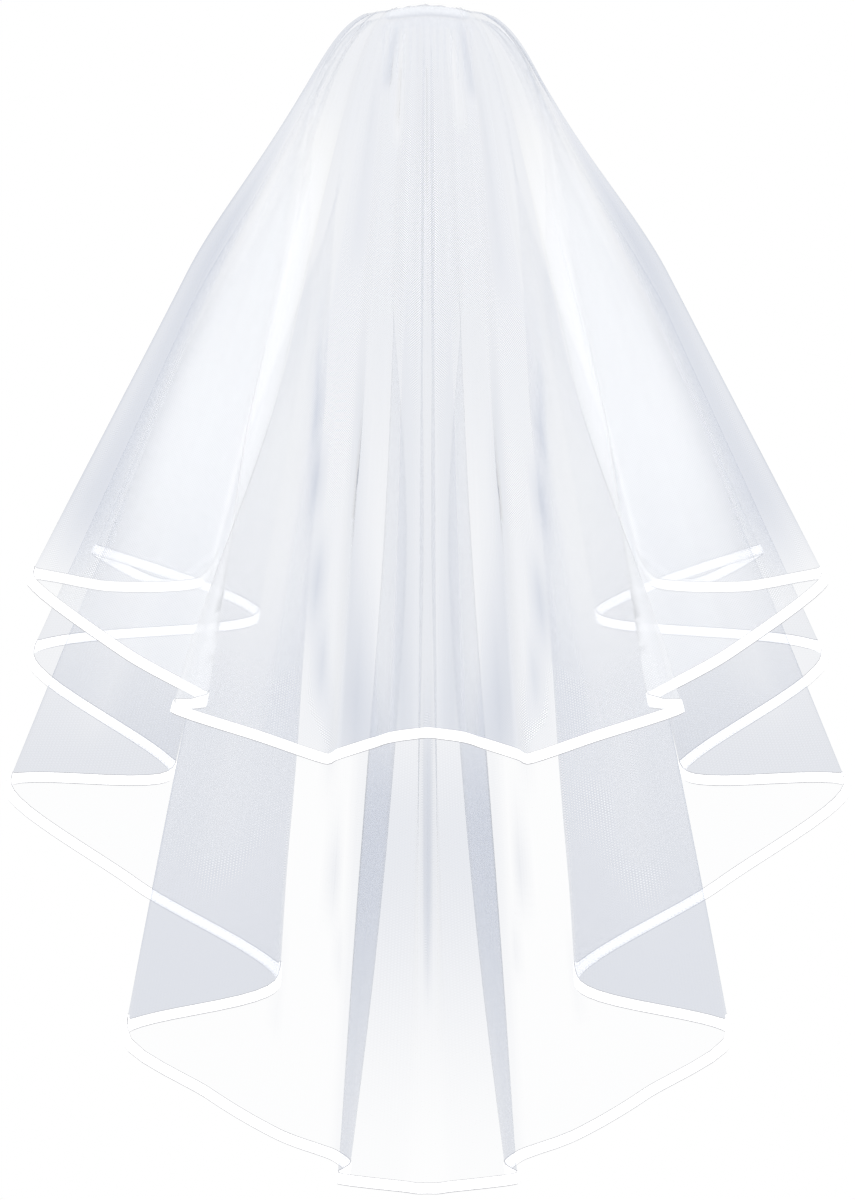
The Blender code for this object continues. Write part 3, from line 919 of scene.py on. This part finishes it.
def edgeCord(bm, rails, edge, beside):
    # a thin cord beside one edge of the ribbon, at the height of the net, dark with painted shade along
    # the edge
    sides = sewing["edgeSides"]
    part, cells = gridMesh(len(rails), sides + 1)
    for vert, (column, row) in zip(part.verts, cells):
        point, out = rails[column][edge]
        across = unit(point - rails[column][beside][0])
        centre = point + across * sewing["edgeOut"] + out * (ribbon["lift"] - ribbon["thickness"] / 2)
        angle = 2 * math.pi * row / sides
        spoke = across * math.cos(angle) + out * math.sin(angle)
        vert.co = Vector(centre + sewing["edgeHalf"] * spoke)
    bmesh.ops.remove_doubles(part, verts=part.verts[:], dist=1e-6)
    bmesh.ops.recalc_face_normals(part, faces=part.faces[:])
    joinInto(bm, part)


def stitchPlaces(rails, inset):
    # point, run and way out of each stitch in a row along the ribbon
    cells = ribbon["cellsAcross"]
    spot = inset * cells
    low = min(int(spot), cells - 1)
    part = spot - low
    line = np.array([rail[low][0] * (1 - part) + rail[low + 1][0] * part for rail in rails])
    outs = np.array([rail[low][1] for rail in rails])
    run = runAlong(line)
    lift = ribbon["lift"] + ribbon["crown"] * (1 - (2 * inset - 1) ** 2)
    places = []
    for start in np.arange(0.5 * sewing["pitch"], run[-1], sewing["pitch"]):
        point = valueAt(start, run, line)
        ahead = valueAt(start + sewing["lookAhead"], run, line)
        out = unit(valueAt(start, run, outs))
        if np.linalg.norm(ahead - point) > 0:
            places.append((point + out * lift, unit(ahead - point), out))
    return places


def gatherPlaces(sheet):
    # short stitches down over the gathers where the net meets the band
    row = sewing["gatherRow"]
    line = sheet["points"][:, row]
    run = runAlong(line)
    places = []
    for start in np.arange(sewing["gatherPitch"], run[-1], sewing["gatherPitch"]):
        column = int(np.searchsorted(run, start))
        down = sheet["points"][column, row + 1] - sheet["points"][column, row]
        places.append((line[column], unit(down), sheet["outward"][column, row]))
    return places


def addStitches(bm, places):
    # one spindle of thread at each place, all from the same small sphere
    seed = bmesh.new()
    bmesh.ops.create_icosphere(seed, subdivisions=1, radius=1)
    corners = np.array([v.co[:] for v in seed.verts])
    faces = [[v.index for v in f.verts] for f in seed.faces]
    seed.free()
    spots = []
    for point, along, out in places:
        across = np.cross(out, along)
        axes = np.array((along, across, np.cross(along, across)))
        frameOf = axes * np.array(sewing["stitch"])[:, None]
        spots.append(point + corners @ frameOf)
    scratch = bpy.data.meshes.new("stitches")
    count = len(corners)
    scratch.from_pydata(
        np.concatenate(spots).tolist(),
        [],
        [[first * count + index for index in face] for first in range(len(places)) for face in faces],
    )
    start = len(bm.faces)
    bm.from_mesh(scratch)
    bpy.data.meshes.remove(scratch)
    bm.faces.ensure_lookup_table()
    for face in bm.faces[start:]:
        face.material_index = 1


def makeSewing(name, sheet, strips, finishes):
    bm = bmesh.new()
    hemRails = strips[0][0]
    edgeCord(bm, hemRails, 0, 1)
    edgeCord(bm, hemRails, -1, -2)
    places = gatherPlaces(sheet)
    for rails, _, _ in strips:
        for inset in (sewing["inset"], 1 - sewing["inset"]):
            places += stitchPlaces(rails, inset)
    addStitches(bm, places)
    obj = meshObject(name, bm)
    for finish in finishes:
        obj.data.materials.append(finish)
    obj.data.shade_smooth()
    letLightThrough(obj)
    return obj


# The bar that the gathers are sewn to, wound with ribbon, and the comb below it
bar = {
    "halfLength": 28.6 * mm,
    "halfDepth": 4.1 * mm,
    "halfHeight": 3.3 * mm,
    "middle": 5.9 * mm,
    "cells": (220, 24),
    "windings": 17,
    "ridge": 0.05,
    "lean": 0.0,
    # colour: the white wound ribbon darkened as painted shade under the net
    "colour": (0.80, 0.81, 0.83),
    "roughness": 0.5,
}
comb = {
    "halfLength": 31.0 * mm,
    "halfDepth": 0.9 * mm,
    "halfHeight": 3.0 * mm,
    "middle": -1.3 * mm,
    "cells": (80, 16),
    "windings": 0,
    "ridge": 0.0,
    "teeth": 14,
    "toothLength": 34.0 * mm,
    "toothRoot": 0.5 * mm,
    "toothTip": 1.0 * mm,
    "toothCells": (12, 8),
    "tipShare": 0.45,
    "lean": 0.30,
    "colour": (0.78, 0.80, 0.84),
    "roughness": 0.25,
    "alpha": 0.16,
}
barForm = {"endPower": 10, "edgePower": 0.6}  # how square the ends and the edges of both bars are


def squareWave(value):
    # a cosine or sine bent towards a square
    return math.copysign(abs(value) ** barForm["edgePower"], value)


def barMesh(values):
    # a bar along X with rounded edges and ends, dipped towards its ends like the crown of the head
    columns, sides = values["cells"]
    part, cells = gridMesh(columns + 1, sides + 1)
    for vert, (column, row) in zip(part.verts, cells):
        along = -math.cos(math.pi * column / columns)
        side = along * values["halfLength"]
        size = math.sqrt(max(0.0, 1 - along ** barForm["endPower"]))
        angle = 2 * math.pi * row / sides
        if 0 < column < columns:
            size *= 1 + values["ridge"] * math.cos(values["windings"] * math.pi * along + angle)
        deep = squareWave(math.cos(angle)) * values["halfDepth"] * size
        high = squareWave(math.sin(angle)) * values["halfHeight"] * size
        height = values["middle"] + high
        drop = values["middle"] + values["halfHeight"] - height
        vert.co = (side, deep + values["lean"] * drop, height - drape["crownBend"] * side**2)
    bmesh.ops.remove_doubles(part, verts=part.verts[:], dist=1e-6)
    bmesh.ops.recalc_face_normals(part, faces=part.faces[:])
    return part


def makeBinding(finish):
    obj = meshObject("binding", barMesh(bar))
    obj.data.materials.append(finish)
    obj.data.shade_smooth()
    return obj


def makeComb(finish):
    bm = barMesh(comb)
    pitch = 2 * comb["halfLength"] / (2 * comb["teeth"] - 1)
    barDrop = 2 * comb["halfHeight"] - comb["toothRoot"]
    segments, rings = comb["toothCells"]
    for tooth in range(comb["teeth"]):
        centre = -comb["halfLength"] + pitch * (2 * tooth + 0.5)
        part = bmesh.new()
        bmesh.ops.create_uvsphere(part, u_segments=segments, v_segments=rings, radius=1)
        for vert in part.verts:
            x, y, z = vert.co
            # the upper half and the girth of the ball make the root, the lower half the tip
            if z > -0.01:
                drop = barDrop - z * mm
                width = 1.0
            else:
                drop = barDrop + comb["toothLength"] - comb["toothTip"] * (1 + z)
                width = comb["tipShare"]
            vert.co = (
                centre + x * width * pitch / 2,
                y * comb["halfDepth"] * width + comb["lean"] * drop,
                comb["middle"] + comb["halfHeight"] - drop - drape["crownBend"] * centre**2,
            )
        joinInto(bm, part)
    obj = meshObject("clear_comb", bm)
    obj.data.materials.append(finish)
    obj.data.shade_smooth()
    letLightThrough(obj)
    return obj


netFinish = netMaterial("clear thread net")
satinFinish = satinMaterial()
sewingFinishes = (
    threadMaterial("edge cord in painted shade", sewing["edgeShadeColour"]),
    threadMaterial("sewing thread", sewing["threadColour"]),
)

# Each tier: its tables, how high on the comb and how far round it the net is gathered, rows of the
# net, and the fan that it is cut from, by width and depth of the cloth and by its own flat area
tiers = {
    "upper": {
        "tables": (upperTurns, upperLook, upperShares),
        "creases": upperCreases,
        "gather": (9.0 * mm, math.radians(90)),
        "rows": 110,
        "cut": (1.30, 0.56),
        "area": 0.35,
    },
    "lower": {
        "tables": (lowerTurns, lowerLook, lowerShares),
        "creases": lowerCreases,
        "gather": (5.0 * mm, math.radians(112)),
        "rows": 140,
        "cut": (1.60, 0.86),
        "area": 0.95,
    },
}
for tier, values in tiers.items():
    sheet = tierSheet(*values["tables"], *values["gather"], values["rows"])
    addFolds(sheet, gathers[tier], values["creases"])
    cloth = withHeading(sheet) if tier == "upper" else sheet
    cutNet = makeNet(tier + "_net", cloth, values["cut"][0], netFinish)
    edging, strips = makeRibbon(tier, sheet, satinFinish)
    stitching = makeSewing(tier + "_sewing", sheet, strips, sewingFinishes)
    for piece in (cutNet, edging, stitching):
        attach(piece, "root")
    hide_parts(tier + "_tier")
    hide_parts(tier + "_ribbon")
    print(tier, "tier ready,", len(sheet["points"]), "lines, ribbon", round(lengthOf(strips), 3), "m")

binding = makeBinding(plainMaterial("wound ribbon in painted shade", bar["colour"], bar["roughness"]))
clearComb = makeComb(plainMaterial("clear plastic", comb["colour"], comb["roughness"], comb["alpha"]))
for piece, node, slot in ((binding, "gather_band", "band"), (clearComb, "comb", "comb")):
    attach(piece, "root")
    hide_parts(node)
print("binding and comb ready")
